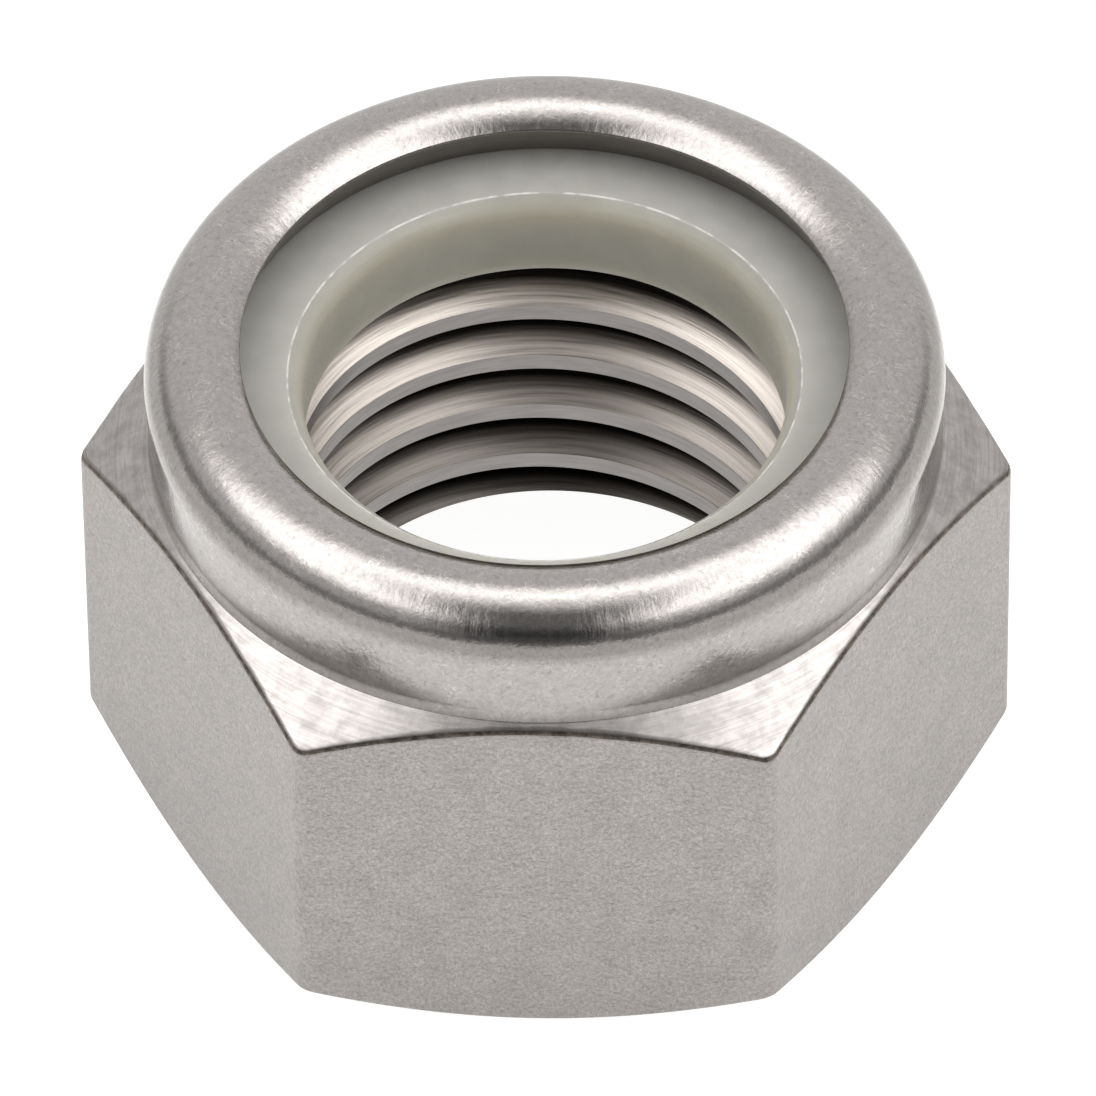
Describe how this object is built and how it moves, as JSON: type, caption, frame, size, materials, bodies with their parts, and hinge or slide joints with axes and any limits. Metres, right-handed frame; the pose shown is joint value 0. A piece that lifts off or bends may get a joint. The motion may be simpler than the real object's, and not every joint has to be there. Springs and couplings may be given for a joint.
{
  "type": "nylon insert lock nut",
  "caption": "Hexagon lock nut: a threaded steel body with a rolled collar that holds a nylon locking ring above the thread.",
  "frame": {"origin": "centre of the bearing face, on the thread's axis", "axes": "+Z along the thread's axis, from the bearing face towards the rolled collar; +Y across one pair of flats"},
  "size_m": [0.0414, 0.036, 0.0253],
  "materials": {
    "stainless_steel": "machined and tumbled stainless steel: fine-grained flats, turned chamfers, satin rolled rim",
    "nylon": "natural moulded nylon, slightly see-through, grey-green with a soft sheen"
  },
  "bodies": {
    "root": {"nut_body": "stainless_steel", "nylon_insert": "nylon"}
  },
  "joints": []
}
